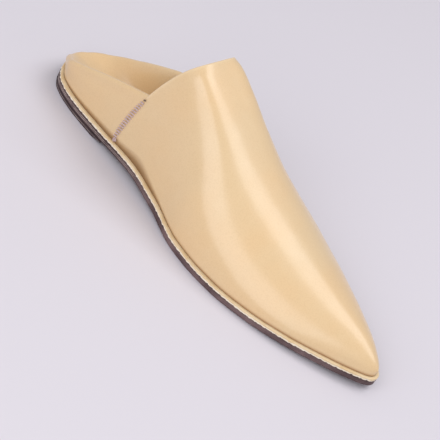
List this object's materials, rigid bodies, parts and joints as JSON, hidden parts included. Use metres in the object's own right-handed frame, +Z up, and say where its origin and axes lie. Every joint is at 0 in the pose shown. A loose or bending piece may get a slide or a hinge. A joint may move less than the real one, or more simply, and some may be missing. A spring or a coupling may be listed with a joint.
{
  "type": "babouche slipper",
  "caption": "Pointed pale tan leather slip-on slipper with its back folded down, an open heel, a pale welt strip and a thin dark sole with a low heel lift.",
  "frame": {"origin": "on the floor, below the middle of the slipper's bounding box", "axes": "+X to the toe, +Y to the inner (big toe) side of this right shoe, +Z up"},
  "size_m": [0.2656, 0.0902, 0.0822],
  "materials": {
    "outsole": "very dark brown sole leather, sanded edge, matt",
    "heel_lift": "very dark brown stacked leather lift, matt edge",
    "welt": "pale undyed leather strip with a raw, slightly fuzzy cut edge",
    "insole": "smooth pale tan sock leather",
    "upper": "smooth pale tan full grain leather with a soft satin sheen"
  },
  "bodies": {
    "root": {"outsole": "outsole", "heel_lift": "heel_lift", "welt": "welt", "insole": "insole", "upper": "upper"}
  },
  "joints": []
}
